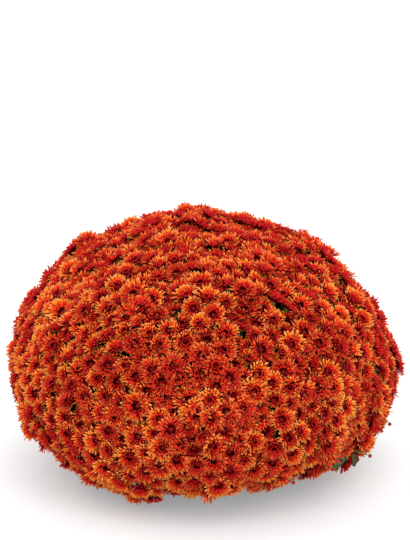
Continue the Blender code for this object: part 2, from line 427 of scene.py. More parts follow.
def chart_column(material, columns):
    """Reads a paint chart of columns by tint, each with its front half and its back half.

    It gives the place, the tint, whether it is the back, how far aside from its middle, and v.
    """
    chart, split = chart_place(material)
    place = node(material, "Math", split, {1: columns}, operation="MULTIPLY")
    column = node(material, "Math", place, operation="FLOOR")
    tint = node(material, "Math", column, {1: columns - 1}, operation="DIVIDE")
    share = node(material, "Math", place, operation="FRACT")
    back = node(material, "Math", share, {1: 0.5}, operation="GREATER_THAN")
    twice = node(material, "Math", share, {1: 2}, operation="MULTIPLY")
    across = node(material, "Math", twice, operation="FRACT")
    offset = node(material, "Math", across, {1: 0.5}, operation="SUBTRACT")
    aside = node(material, "Math", offset, operation="ABSOLUTE")
    return chart, tint, back, aside, split.outputs[1]


def chart_uv(tint, columns, back, across, along):
    """Corners on a paint chart: the tint's column, the front or back half of it, and v along it."""
    column = np.minimum((tint * columns).astype(int), columns - 1)
    u = (column[:, None, None] + (back[None, :, None] + across[None]) / 2) / columns
    return np.stack([u, np.broadcast_to(along[None], u.shape)], -1)


def petal_material():
    """Petal tissue: matt and faintly velvety, its red pigment thinning towards the tip, with pale edges
    that are partly a painted highlight.

    The chart's u runs from one edge of a floret to the other, and its v from foot to tip.
    """
    made, shader = principled(
        "petal tissue", Roughness=0.7, Specular_IOR_Level=0.06,
        Subsurface_Weight=0.25, Subsurface_Radius=(1.0, 0.25, 0.08), Subsurface_Scale=0.002,
    )
    chart, tint, back, aside, along = chart_column(made, FLORET_TINTS)
    deep = node(made, "ValToRGB", along, ramp=CRIMSON_FACE)
    bright = node(made, "ValToRGB", along, ramp=ORANGE_FACE)
    body = node(made, "Mix", {0: tint, 6: deep, 7: bright}, data_type="RGBA")
    # The edges are pale orange, and the more so towards the tip: partly the thin tissue's own colour,
    # partly a painted highlight along them.
    rim = node(made, "MapRange", aside, {1: 0.15, 2: 0.4, 3: 0.0, 4: 0.35})
    edge_highlight_along = node(made, "Math", {0: rim, 1: along}, operation="MULTIPLY")
    edged = node(made, "Mix", {0: edge_highlight_along, 6: body}, {7: FLORET_EDGE_AND_HIGHLIGHT}, data_type="RGBA")
    reverse = node(made, "ValToRGB", along, ramp=FLORET_BACK)
    sided = node(made, "Mix", {0: back, 6: edged, 7: reverse}, data_type="RGBA")
    # Faint blotches, about 1 mm across the floret and 0.4 mm along it
    blotches = node(made, "TexNoise", chart, {"Scale": 46, "Detail": 2, "Distortion": 0.4})
    wired(shader, {"Base Color": shaded(made, sided, blotches, 0.3, 0.7, 0.9, 1.1)})
    return made


def floret_pattern():
    """A floret's triangles, which are its back, and its corners' places across and along it.

    Its points are its foot, its left and right edges at its widest, and its tip. The last two
    triangles are its back, keeled from foot to tip.
    """
    faces = np.array([(0, 2, 1), (1, 2, 3), (0, 1, 3), (0, 3, 2)])
    across = np.array([0.5, 0.1, 0.9, 0.5])[faces]
    return faces, np.arange(4) >= 2, across, np.array([0.02, FLORET_WIDEST, FLORET_WIDEST, 0.98])[faces]


def floret_points(head, angle, length, slope, curl, width):
    """The points of many florets, from where they sit and how each is shaped.

    A floret's middle line leaves the head's axis at its slope and curls upwards with the square
    of the distance along it. Its edges lie half its width to each side of the line and a little
    above it, rolled about it by a small random angle.
    """
    along = np.array([0.0, FLORET_WIDEST, 1.0])
    reach = FLORET_FOOT_REACH + length[:, None] * np.cos(slope)[:, None] * along
    rise = length[:, None] * (np.sin(slope)[:, None] * along + curl[:, None] * along**2)
    way = carried_round(1, 0, angle)
    side = np.stack([-way[:, 1], way[:, 0], way[:, 2]], -1)
    middle = way[:, None] * reach[..., None] + rise[..., None] * [0, 0, 1]
    normal = turned(np.array([0, 0, 1]), -way, slope)
    roll = chance.normal(0, FLORET_ROLL, len(angle))
    edge = turned(side, normal, roll) * width[:, None] / 2
    widest = middle[:, 1] + FLORET_CHANNEL * turned(normal, -side, roll)
    local = np.stack([middle[:, 0], widest + edge, widest - edge, middle[:, 2]], axis=1)
    local = local * head_scale[head][:, None, None]
    return np.einsum("nij,njk->nik", local, head_axes[head]) + head_points[head][:, None]


def repeated(points, faces, uv):
    """One mesh of many parts with the same triangles, and chart corners by part or for all."""
    parts = len(points)
    all_faces = faces[None] + points.shape[1] * np.arange(parts)[:, None, None]
    all_uv = np.broadcast_to(uv, (parts, *faces.shape, 2))
    return points.reshape(-1, 3), all_faces.reshape(-1, 3), all_uv.reshape(-1, 2)


def ring_of_florets(heads, ring):
    """One ring of florets on each of these heads: its points, triangles and chart corners."""
    count, length, slope, curl, width, redder = FLORET_RINGS[ring]
    head = np.repeat(heads, count)
    total = len(head)
    place = np.tile(np.arange(count), len(heads)) + 0.5 * ring
    angle = 2 * np.pi * place / count + chance.normal(0, 0.06, total)
    opening = head_opening[head]
    slope = slope * opening + 0.15 * (opening - 1) + chance.normal(0, 0.12, total)
    length = length * chance.normal(1, 0.09, total)
    curl = curl * chance.normal(1, 0.6, total)
    width = width * chance.normal(1, 0.10, total)
    points = floret_points(head, angle, length, np.minimum(slope, FLORET_STEEPEST), curl, width)
    faces, back, across, along = floret_pattern()
    # Painted light: a floret's tint rises the more it points towards the lit side of its head.
    painted_light_way = head_axes[head] @ PAINTED_LIGHT_SIDE
    painted_light_lift = painted_light_way[:, 0] * np.cos(angle) + painted_light_way[:, 1] * np.sin(angle)
    tint = head_tint[head] - redder + painted_light_lift + chance.normal(0, TINT_SPREAD, total)
    uv = chart_uv(tint.clip(0, 0.999), FLORET_TINTS, back, across, along * (1 - redder))
    return repeated(points, faces, uv)


def joined(parts):
    """Several meshes as one: their points, triangles and chart corners, one after the other."""
    starts = np.cumsum([0] + [len(points) for points, _, _ in parts[:-1]])
    points = np.concatenate([points for points, _, _ in parts])
    faces = np.concatenate([faces + start for (_, faces, _), start in zip(parts, starts)])
    return points, faces, np.concatenate([uv for _, _, uv in parts])


petal_tissue = petal_material()
for spray, spray_node in enumerate(SPRAY_NODES):
    heads = np.flatnonzero(head_spray == spray)
    florets = joined([ring_of_florets(heads, ring) for ring in range(len(FLORET_RINGS))])
    piece(f"spray_{spray + 1:02d}_ray_florets", florets, petal_tissue, spray_node)

# ----------
# Disc florets
# The middle of each head is a low button of tiny tubular florets, about 6 mm across, set between
# the feet of the rays. They are dark maroon while they are shut and browner where they open.

DISC_RADIUS = 0.0031
DISC_SIDES = 8
DISC_FORM = [(0, 0.0026), (DISC_RADIUS * 0.55, 0.0024), (DISC_RADIUS, 0.0010), (0, -0.0010)]
DISC_COLOURS = [(0, "#7C2614"), (0.16, "#7C1612"), (0.34, "#880A12"), (0.5, "#A00812")]


def closed_faces(stations, sides, staggered=False):
    """Triangles over rings of points that follow a first point and come before a last one.

    They face outwards if the rings' sides turn left about the way to the last point. Of staggered
    rings every other one is turned by half a side, so that the triangles between two are even.
    """
    here = np.arange(sides)
    after = (here + 1) % sides
    faces = [np.stack([np.zeros(sides, int), 1 + after, 1 + here], -1)]
    for station in range(stations - 1):
        low = 1 + station * sides
        high = low + sides
        far = after if staggered and station % 2 else here
        faces.append(np.stack([low + here, low + after, high + far], -1))
        faces.append(np.stack([low + after, high + (far + 1) % sides, high + far], -1))
    last = 1 + (stations - 1) * sides
    faces.append(np.stack([last + here, last + after, np.full(sides, last + sides)], -1))
    return np.concatenate(faces)


def lathe(rings, sides):
    """Points and triangles of a closed form of revolution, from its rings' radii and heights.

    It runs downwards, and its first and last rings are single points on the axis.
    """
    radius, height = np.array(rings, float).T
    angle = 2 * np.pi * (np.arange(sides) + 0.5 * np.arange(len(rings) - 2)[:, None]) / sides
    middle = carried_round(radius[1:-1, None], height[1:-1, None], angle).reshape(-1, 3)
    points = np.concatenate([[(0, 0, height[0])], middle, [(0, 0, height[-1])]])
    return points, closed_faces(len(rings) - 2, sides, staggered=True)[:, [0, 2, 1]]


def copies(points, faces, uv, places, axes, scale):
    """Copies of one small mesh, each turned to its own axes, scaled and moved to its place."""
    spots = np.einsum("vj,njk->nvk", points, axes) * scale[:, None, None] + places[:, None]
    return repeated(spots, faces, uv)


def heads_of(spray):
    """The places, axes and scales of a spray's heads."""
    heads = np.flatnonzero(head_spray == spray)
    return head_points[heads], head_axes[heads], head_scale[heads]


def disc_material():
    """Disc florets: a mosaic of shut florets 0.6 mm wide, browner in the middle of the button."""
    made, shader = principled("disc florets", Roughness=0.85, Specular_IOR_Level=0.06)
    chart = node(made, "UVMap", {}, uv_map="OFBake")
    centred = node(made, "VectorMath", chart, {1: (0.5, 0.5, 0)}, operation="SUBTRACT")
    radius = node(made, "VectorMath", centred, operation="LENGTH")
    body = node(made, "ValToRGB", radius, ramp=DISC_COLOURS)
    mosaic = node(made, "TexVoronoi", chart, {"Scale": 12})
    wired(shader, {"Base Color": shaded(made, body, mosaic, 0, 0.6, 1.5, 0.45)})
    return made


disc_tissue = disc_material()
disc_points, disc_faces = lathe(DISC_FORM, DISC_SIDES)
disc_uv = 0.5 + disc_points[disc_faces][..., :2] / (2.2 * DISC_RADIUS)
for spray, spray_node in enumerate(SPRAY_NODES):
    discs = copies(disc_points, disc_faces, disc_uv, *heads_of(spray))
    piece(f"spray_{spray + 1:02d}_disc_florets", discs, disc_tissue, spray_node)

# ----------
# Bracts, stalks and branches
# Behind each head, green bracts make a shallow cup on a thin stalk. About eight stalks leave each
# branch, and the branches leave the spray's stem one above the other and curve outwards. All are
# one living tissue, finely ribbed, pale green and a little greyish from its short down.

BRACT_FORM = [(0, 0.0004), (0.0054, -0.0006), (0.0034, -0.0038), (0, -0.0050)]
BRACT_DEPTH = 0.0046  # from a head's centre to where its stalk ends in the bracts
STALK_RADIUS = 0.0008
STALK_STATIONS = 4
BRANCH_RADIUS = 0.0013
BRANCH_STATIONS = 6
BRANCH_CHART = (0.02, 0.25)  # the branches' part of the green tissue's chart, by v
STALK_CHART = (0.25, 0.48)
BRACT_CHART = (0.55, 0.98)
CHART_WIDTH = 0.024  # what u spans on a cup of bracts, in metres
CROWN_CENTRE = np.array([0, 0, 0.030])
CROWN_RADIUS = 0.0243
CROWN_SPREAD = np.radians(76)
STEM_STRAIGHTNESS = 0.36  # how far a stem keeps its direction, as a share of the whole way
SPRAY_DEPTH = 0.0408  # from the cushion's surface to the stems' tips
GREEN_COLOURS = [
    (0, "#34491C"), (0.3, "#48602A"), (0.48, "#6A7E40"), (0.55, "#3C5220"),
    (0.84, "#2C4016"), (0.9, "#8A0C12"), (1, "#960C14"),
]


def bezier(start, leave, arrive, end, share):
    """Points on cubic curves that leave and arrive in given directions, at given shares of them."""
    share = share[..., None]
    rest = 1 - share
    return rest**3 * start + 3 * rest**2 * share * leave + 3 * rest * share**2 * arrive + share**3 * end


def skinned(rings, ends, along):
    """Closed skins over rings of points, by piece, station and side, with their two end points.

    The sides turn from the first direction to the second of a right-handed set whose third runs
    from station to station. The chart's u goes round a ring, and its v is given by station.
    """
    count, stations, sides = rings.shape[:3]
    points = np.concatenate([ends[0][:, None], rings.reshape(count, -1, 3), ends[1][:, None]], axis=1)
    faces = closed_faces(stations, sides)
    u = (np.concatenate([[0], np.tile(np.arange(sides), stations), [0]]) / sides)[faces]
    u = np.where(u.max(1, keepdims=True) - u > 0.5, u + 1, u) * 0.9
    v = np.concatenate([along[:1], np.repeat(along, sides), along[-1:]])[faces]
    return repeated(points, faces, np.stack([u, v], -1))


def tubes(paths, radii, sides, along):
    """Tubes on many paths, their radii given by path and station, and by side if they are ribbed.

    A ring's first direction is square to the plane that its path bends in.
    """
    count, stations = paths.shape[:2]
    run = unit(np.gradient(paths, axis=1))
    bend = np.cross(run[:, 0], paths[:, -1] - paths[:, 0])
    spare = np.cross(run[:, 0], [0.31, 0.52, 0.79])
    flat = np.linalg.norm(bend, axis=1, keepdims=True) < 1e-6
    first = unit(np.cross(unit(np.where(flat, spare, bend))[:, None], run))
    turn = 2 * np.pi * np.arange(sides) / sides
    spokes = turned(first[:, :, None], np.cross(run, first)[:, :, None], turn)
    rings = paths[:, :, None] + spokes * radii.reshape(count, stations, -1, 1)
    return skinned(rings, (paths[:, 0], paths[:, -1]), np.linspace(*along, stations))


def cup(rings, sides, chart):
    """A green cup from its rings, as points, triangles and corners: its v rises with its height."""
    points, faces = lathe(rings, sides)
    foot, top = rings[-1][1], rings[0][1]
    v = chart[0] + (chart[1] - chart[0]) * (points[:, 2] - foot) / (top - foot)
    return points, faces, np.stack([0.5 + points[:, 0] / CHART_WIDTH, v], -1)[faces]


def green_material():
    """Green stalk tissue: the chart's v is a stalk below the middle and a bract above it.

    Its top tenth is a cup's upper face, which is as red as the florets' feet that cover it.
    """
    made, shader = principled("downy green stalk", Roughness=0.7, Specular_IOR_Level=0.1)
    chart, split = chart_place(made)
    body = node(made, "ValToRGB", split.outputs[1], ramp=GREEN_COLOURS)
    # Ribs run along the stalk, about four round it, so they follow the chart's u.
    ribs = node(made, "TexWave", chart, {"Scale": 1.3, "Distortion": 0.6})
    wired(shader, {"Base Color": shaded(made, body, ribs, 0, 1, 0.78, 1.08)})
    return made


def stem_path(spray, share):
    """Points on a spray's main stem, the frame's own curve, at shares of it from its foot."""
    lean = CROWN_SPREAD * spray_turns[spray] / LAST_TURN
    leaving = carried_round(np.sin(lean), np.cos(lean), spray_compass[spray])
    foot = CROWN_CENTRE + CROWN_RADIUS * leaving
    tip = spray_points[spray] - SPRAY_DEPTH * spray_out[spray]
    hold = STEM_STRAIGHTNESS * np.linalg.norm(tip - foot, axis=-1, keepdims=True)
    return bezier(foot, foot + hold * leaving, tip - hold * spray_out[spray], tip, share)


def stem_run(spray, share):
    """The direction in which a spray's stem runs: from just before a share of it to just after."""
    return unit(stem_path(spray, share + 0.02) - stem_path(spray, share - 0.02))


def curved_paths(start, leaving, end, arriving, stations):
    """Paths from start to end that keep their two directions for 0.35 of the distance."""
    hold = 0.35 * np.linalg.norm(end - start, axis=1, keepdims=True)
    ends = (start, start + hold * leaving, end - hold * arriving, end)
    return bezier(*(point[:, None] for point in ends), np.linspace(0, 1, stations)[None])


def stalks_to(places, axes, scale, depth, radius, branch):
    """Stalks from each branch's fork to the undersides of heads or buds, at a depth behind them."""
    ends = places - depth * scale[:, None] * axes[:, 2]
    paths = curved_paths(branch_points[branch], branch_out[branch], ends, axes[:, 2], STALK_STATIONS)
    return tubes(paths, np.full(paths.shape[:2], radius), 4, STALK_CHART)


# A branch that bears flowers far from its stem's tip leaves the stem lower down.
branch_offset = np.linalg.norm(branch_tops - spray_points[branch_spray], axis=1)
branch_share = 0.99 - 2.2 * branch_offset - chance.uniform(0, 0.05, BRANCH_COUNT)
branch_foot = stem_path(branch_spray, branch_share)
branch_run = stem_run(branch_spray, branch_share)
branch_paths = curved_paths(branch_foot, branch_run, branch_points, branch_out, BRANCH_STATIONS)
branch_radii = np.linspace(1.2, 0.8, BRANCH_STATIONS) * BRANCH_RADIUS
bracts = cup(BRACT_FORM, 6, BRACT_CHART)
green_tissue = green_material()
for spray, spray_node in enumerate(SPRAY_NODES):
    stalks = stalks_to(*heads_of(spray), BRACT_DEPTH, STALK_RADIUS, head_branch[head_spray == spray])
    paths = branch_paths[branch_spray == spray]
    branches = tubes(paths, np.broadcast_to(branch_radii, paths.shape[:2]), 6, BRANCH_CHART)
    green = joined([copies(*bracts, *heads_of(spray)), stalks, branches])
    piece(f"spray_{spray + 1:02d}_bracts_and_stalks", green, green_tissue, spray_node)

# ----------
# Buds
# Among the open heads stand buds of 6 to 10 mm, ribbed by the florets folded over them and already
# dark red, each in a green cup of bracts on its own short stalk.

BUD_COUNT = 34
BUD_FORM = [
    (0, 0.0040), (0.0022, 0.0037), (0.0042, 0.0016),
    (0.0044, -0.0008), (0.0030, -0.0030), (0, -0.0038),
]
BUD_GROOVE, BUD_RIB = 0.86, 1.06  # as shares of the form's radius
BUD_CUP = [(0, -0.0005), (0.0048, -0.0006), (0.0040, -0.0030), (0, -0.0046)]
BUD_CUP_CHART = (0.60, 0.846)
BUD_CUP_DEPTH = 0.0040
BUD_STALK_RADIUS = STALK_RADIUS * 0.8
# The last ones hang out past the flowers on one side, at these compass angles and heights.
RIM_BUDS = np.array([(339, 0.110), (335, 0.069), (298, 0.071), (312, 0.077)])
RIM_BUD_DEPTH = -0.010
RIM_BUD_SCALE = 0.65

even_turns, even_compass = spread_over_cushion(BUD_COUNT, 2.1, HEAD_SPACING, lowest_turn)
bud_turns = np.append(even_turns, skirt_turn(RIM_BUDS[:, 1]))
bud_compass = np.append(even_compass, np.radians(RIM_BUDS[:, 0]))
bud_total = len(bud_turns)
hangs = np.arange(bud_total) >= BUD_COUNT
bud_depth = np.where(hangs, RIM_BUD_DEPTH, chance.uniform(0.007, 0.018, bud_total))
bud_points, bud_out, bud_tops = sunk(bud_turns, bud_compass, bud_depth)
bud_lean = chance.normal(0, 0.3, (bud_total, 3)) + np.where(hangs, -0.3, 0.2)[:, None] * [0, 0, 1]
bud_axes = frames_facing(unit(bud_out + bud_lean), chance.uniform(0, 2 * np.pi, bud_total))
bud_scale = np.where(hangs, RIM_BUD_SCALE, chance.uniform(0.75, 1.15, bud_total))
buds = (bud_points, bud_axes, bud_scale)
bud_mesh, bud_faces = lathe(BUD_FORM, 12)
ribs = np.where(np.arange(len(bud_mesh)) % 2 == 0, BUD_GROOVE, BUD_RIB)
bud_mesh[:, :2] *= ribs[:, None]
# On the florets' chart, each rib and each groove is the edge of a floret, near its foot.
bud_across = np.where(ribs > 1, 0.9, 0.1)[bud_faces]
bud_along = ((bud_mesh[:, 2] + 0.0042) / 0.0400)[bud_faces]
bud_tints = chance.uniform(0, 0.3, bud_total)
bud_uv = chart_uv(bud_tints, FLORET_TINTS, np.zeros(len(bud_faces)), bud_across, bud_along)
piece("bud_florets", copies(bud_mesh, bud_faces, bud_uv, *buds), petal_tissue)
bud_stalks = stalks_to(*buds, BUD_CUP_DEPTH, BUD_STALK_RADIUS, nearest(bud_tops, branch_tops))
green = joined([copies(*cup(BUD_CUP, 8, BUD_CUP_CHART), *buds), bud_stalks])
piece("bud_bracts_and_stalks", green, green_tissue)

# ----------
# Leaves among the flowers
# Lobed leaves of 25 to 70 mm sit just under the heads, on the upper part of the stems and under the rim.
# They are thin, deep green and matt above, greyer below, with a pale midrib. Those inside the cushion are
# painted nearly black, as painted shade, and those at the rim paler, as painted light.

LEAF_STATIONS = np.array([0.20, 0.36, 0.50, 0.66, 0.80])
LEAF_WIDTHS = np.array([0.06, 0.25, 0.14, 0.30, 0.17])  # half widths as shares of the leaf's length
LEAF_SWEEP = np.array([0.0, 0.08, 0.0, 0.10, 0.0])  # how far the lobes reach forward, the same way
LEAF_TROUGH = 0.25  # how far the edges lie above the midrib, as a share of the half width
LEAF_TINTS = 4
LEAF_PAINTED_SHADE, LEAF_PAINTED_LIGHT, LEAF_BACK, LEAF_VEINS = "#081005", "#3E472B", "#141C0D", "#2A3918"
# Each group's shortest and longest leaf, how far they rise, and its highest tint: 0 is painted deep
# shade, for leaves inside the cushion, and 1 painted light, for leaves out in the light
BRANCH_LEAVES = ((0.044, 0.060), (-0.3, 0.35), 0.24)
STEM_LEAVES = ((0.050, 0.070), (0.3, 0.8), 0.24)
TOP_LEAVES = ((0.030, 0.038), (0.40, 0.75), 0.24)
RIM_LEAVES = ((0.024, 0.032), (0.60, 1.00), 0.999)
SKIRT_LEAVES = ((0.046, 0.058), (-0.1, 0.2), 0.4, chance.normal)  # the rise's mean and spread


def leaf_pattern():
    """A leaf's triangles, which are its back, and its corners' places across and along it.

    Its points are its foot, then left edge, upper midrib, right edge and lower midrib at each
    station, and its tip. A strip's corners count on from its left edge to the next station's.
    """
    first = 1 + 4 * np.arange(len(LEAF_STATIONS))[:, None, None]
    strip = first[:-1] + [(0, 1, 4), (1, 5, 4), (1, 2, 5), (2, 6, 5)]
    strip_back = first[:-1] + [(0, 4, 3), (3, 4, 7), (3, 7, 2), (2, 7, 6)]
    face = [(0, 2, 1), (0, 3, 2), *strip.reshape(-1, 3), *(first[-1] + [(0, 1, 4), (1, 2, 4)])]
    back = [(0, 1, 4), (0, 4, 3), *strip_back.reshape(-1, 3), *(first[-1] + [(0, 4, 3), (3, 4, 2)])]
    across = np.array([0.5] + [0.02, 0.5, 0.98, 0.5] * len(LEAF_STATIONS) + [0.5])
    along = np.array([0.01, *np.repeat(LEAF_STATIONS, 4), 0.99])
    faces = np.array(face + back)
    return faces, np.arange(len(faces)) >= len(face), across[faces], along[faces]


def leaf_points(foot, forward, upward, length, droop):
    """The points of many leaves, from where each starts, its first direction and its upper side.

    The midrib bends down from its first direction with the square of the distance along it. The
    edges lie square to it, a little higher than it, so that the blade is a shallow trough.
    """
    sideways = np.cross(upward, forward)
    along = np.array([0.0, *LEAF_STATIONS, 1.0])
    middle = foot[:, None] + length[:, None, None] * (
        along[:, None] * forward[:, None] - (droop[:, None] * along**2)[..., None] * upward[:, None]
    )
    swept = (LEAF_SWEEP * length[:, None])[..., None] * forward[:, None]
    half = (LEAF_WIDTHS * length[:, None])[..., None]
    inner = middle[:, 1:-1]
    left = inner + swept + half * (sideways + LEAF_TROUGH * upward)[:, None]
    right = inner + swept + half * (LEAF_TROUGH * upward - sideways)[:, None]
    top = inner + 0.0002 * upward[:, None]
    under = inner - 0.0004 * upward[:, None]
    rings = np.stack([left, top, right, under], axis=2).reshape(len(foot), 4 * len(LEAF_STATIONS), 3)
    return np.concatenate([middle[:, :1], rings, middle[:, -1:]], axis=1)


def leaf_material():
    """Leaf blade: the chart's u runs from one edge to the other and its v from foot to tip."""
    made, shader = principled("leaf blade", Roughness=0.7, Specular_IOR_Level=0.05)
    chart, tint, back, aside, along = chart_column(made, LEAF_TINTS)
    # The tint mixes painted shade, nearly black, with painted light on the leaf's green.
    face = node(made, "Mix", tint, {6: LEAF_PAINTED_SHADE, 7: LEAF_PAINTED_LIGHT}, data_type="RGBA")
    sided = node(made, "Mix", {0: back, 6: face}, {7: LEAF_BACK}, data_type="RGBA")
    # The midrib fades out over the middle seventh, and the side veins, seven to a side, run
    # forwards from it at about 40 degrees.
    lead = node(made, "Math", aside, {1: 0.55}, operation="MULTIPLY")
    slant = node(made, "Math", {0: along, 1: lead}, operation="SUBTRACT")
    waves = node(made, "Math", slant, {1: 44.0}, operation="MULTIPLY")
    crests = node(made, "Math", waves, operation="SINE")
    veins = node(made, "MapRange", crests, {1: 0.8, 2: 1.0, 3: 0.0, 4: 0.2})
    rib = node(made, "MapRange", aside, {1: 0.0, 2: 0.07, 3: 0.35, 4: 0.0})
    lines = node(made, "Math", {0: veins, 1: rib}, operation="MAXIMUM")
    veined = node(made, "Mix", {0: lines, 6: sided}, {7: LEAF_VEINS}, data_type="RGBA")
    wired(shader, {"Base Color": veined})
    return made


def leaves_on(points, shoot, spiral, lengths, rises, painted_light_tint, draw=chance.uniform):
    """Leaves round shoots: their feet are given, and each turns on from the last as spiral says.

    Each leaf's first direction is across its shoot's, raised towards it by the rise.
    """
    count = len(points)
    length = chance.uniform(*lengths, count)
    rise = draw(*rises, count)
    axes = frames_facing(shoot, np.zeros(count))
    across = turned(axes[:, 0], axes[:, 1], spiral)
    forward = unit(turned(across, shoot, rise))
    upward = unit(turned(shoot, -across, rise))
    upward = unit(turned(upward, np.cross(forward, upward), chance.normal(0, 0.35, count)))
    blades = leaf_points(points, forward, upward, length, chance.uniform(0.05, 0.3, count))
    faces, back, x, y = leaf_pattern()
    # The tint is painted light: at most the group's highest tint.
    uv = chart_uv(chance.uniform(0.7 * painted_light_tint, painted_light_tint, count), LEAF_TINTS, back, x, y)
    return repeated(blades, faces, uv)


# The lowest leaves hang from the outer shoots like a curtain, their tips near the surface.
SKIRT_COUNT = 130
skirt_turns = skirt_turn(chance.uniform(0.066, 0.092, SKIRT_COUNT))
skirt_depth = chance.uniform(0.026, 0.044, SKIRT_COUNT)
skirt_feet, skirt_out, _ = sunk(skirt_turns, GOLDEN_ANGLE * np.arange(SKIRT_COUNT), skirt_depth)
# On top, small ones rise between the stalks just under the flowers, where the light is strongest.
TOP_COUNT = 190
TOP_LEAF_DEPTH = 0.034
top_spread = spread_over_cushion(TOP_COUNT, 1.4, shake=0.008, last_turn=0.95)
top_feet, top_out, _ = sunk(*top_spread, TOP_LEAF_DEPTH)
# A few shorter ones reach out between the lowest flowers, at these compass angles.
RIM_COMPASS = np.radians([20, 64, 105, 141, 176, 319, 327, 334])
RIM_LEAF_DEPTH = 0.010
rim_turns = skirt_turn(chance.uniform(0.055, 0.080, len(RIM_COMPASS)))
rim_feet, rim_out, _ = sunk(rim_turns, RIM_COMPASS, RIM_LEAF_DEPTH)

LEAVES_PER_BRANCH = 9
LEAVES_PER_STEM = 10
STRAIGHT_DOWN = -np.pi / 2  # across an outward direction, back from the level one
stem_shares = np.linspace(0.62, 0.97, LEAVES_PER_STEM)
skirt_spray, top_spray, rim_spray = (
    branch_spray[nearest(feet, branch_points)] for feet in (skirt_feet, top_feet, rim_feet)
)
leaf_tissue = leaf_material()
for spray, spray_node in enumerate(SPRAY_NODES):
    branches = np.repeat(np.flatnonzero(branch_spray == spray), LEAVES_PER_BRANCH)
    spiral = GOLDEN_ANGLE * np.arange(len(branches)) + 0.5
    depth = chance.uniform(-0.024, 0.003, len(branches))
    feet = branch_points[branches] + depth[:, None] * branch_out[branches]
    on_branches = leaves_on(feet, branch_out[branches], spiral, *BRANCH_LEAVES)
    same = np.full(LEAVES_PER_STEM, spray)
    spiral = GOLDEN_ANGLE * np.arange(LEAVES_PER_STEM)
    on_stem = leaves_on(stem_path(same, stem_shares), stem_run(same, stem_shares), spiral, *STEM_LEAVES)
    high = np.flatnonzero(top_spray == spray)
    rising = leaves_on(top_feet[high], top_out[high], GOLDEN_ANGLE * high, *TOP_LEAVES)
    low = skirt_spray == spray
    spiral = chance.normal(STRAIGHT_DOWN, 0.3, low.sum())
    hanging = leaves_on(skirt_feet[low], skirt_out[low], spiral, *SKIRT_LEAVES)
    rim = rim_spray == spray
    spiral = chance.normal(STRAIGHT_DOWN, 0.4, rim.sum())
    reaching = leaves_on(rim_feet[rim], rim_out[rim], spiral, *RIM_LEAVES)
    leaves = joined([on_branches, on_stem, rising, hanging, reaching])
    piece(f"spray_{spray + 1:02d}_leaves", leaves, leaf_tissue, spray_node)

# ----------
# Stems
# One main stem for each spray grows out of the crown. It is 6 mm thick and brown at its foot, where
# it has turned to wood, and 4 mm and green at its tip. Six low ribs run along it.

STEM_FOOT_RADIUS = 0.0029
STEM_TIP_RADIUS = 0.0020
STEM_STATIONS = 14
STEM_RIBS = 6
STEM_GROOVE = 0.14  # the depth of the grooves between the ribs, as a share of the radius
STEM_COLOURS = [(0, "#4A3824"), (0.12, "#5C4E30"), (0.3, "#566234"), (0.6, "#4A6630"), (1, "#55703A")]


def stem_material():
    """Half-woody stem: the chart's v is 0 at the brown foot and 1 at the green tip."""
    made, shader = principled("half-woody stem", Roughness=0.65, Sheen_Weight=0.1)
    chart, split = chart_place(made)
    body = node(made, "ValToRGB", split.outputs[1], ramp=STEM_COLOURS)
    # Lenticels and scars: spots about 3 mm wide and twice as long
    long_way = node(made, "VectorMath", chart, {1: (6, 40, 1)}, operation="MULTIPLY")
    spots = node(made, "TexNoise", long_way, {"Scale": 1.0, "Detail": 3})
    wired(shader, {"Base Color": shaded(made, body, spots, 0.3, 0.7, 0.72, 1.15)})
    return made


stem_tissue = stem_material()
groove = np.where(np.arange(2 * STEM_RIBS) % 2 == 0, 1, 1 - STEM_GROOVE)
stem_radii = np.linspace(STEM_FOOT_RADIUS, STEM_TIP_RADIUS, STEM_STATIONS)[:, None] * groove
for spray in range(len(SPRAY_NODES)):
    path = stem_path(np.full(STEM_STATIONS, spray), np.linspace(0, 1, STEM_STATIONS))
    stem = tubes(path[None], stem_radii[None], 2 * STEM_RIBS, (0.0, 1.0))
    piece(f"stem_{spray + 1:02d}_ribbed", stem, stem_tissue, f"stem_{spray + 1:02d}")

# ----------
# Basal leaves
# Seven old leaves grow from the crown's foot and lie on the surface under the flowers, each a long
# stalk and a lobed, toothed blade with a sunken midrib. They are thin and soft, and deep green.

BASAL_LEAF_COUNT = sum(name.startswith("basal_leaf") for name in frame["nodes"])
BASAL_FOOT = 0.0219  # from the axis, on the crown's neck
BASAL_REACH = 0.133  # from the axis to the leaf's tip
BASAL_BLADE = 0.070
BASAL_HALF_WIDTH = 0.026
BASAL_STALK_HALF_WIDTH = 0.0018
BASAL_FOOT_HEIGHT = 0.0132
BASAL_THICKNESS = 0.0009
BASAL_WAVE = 0.0012
BASAL_LOBES = 3
BASAL_TEETH = 12
BASAL_STATIONS = 34
BASAL_COLUMNS = 9


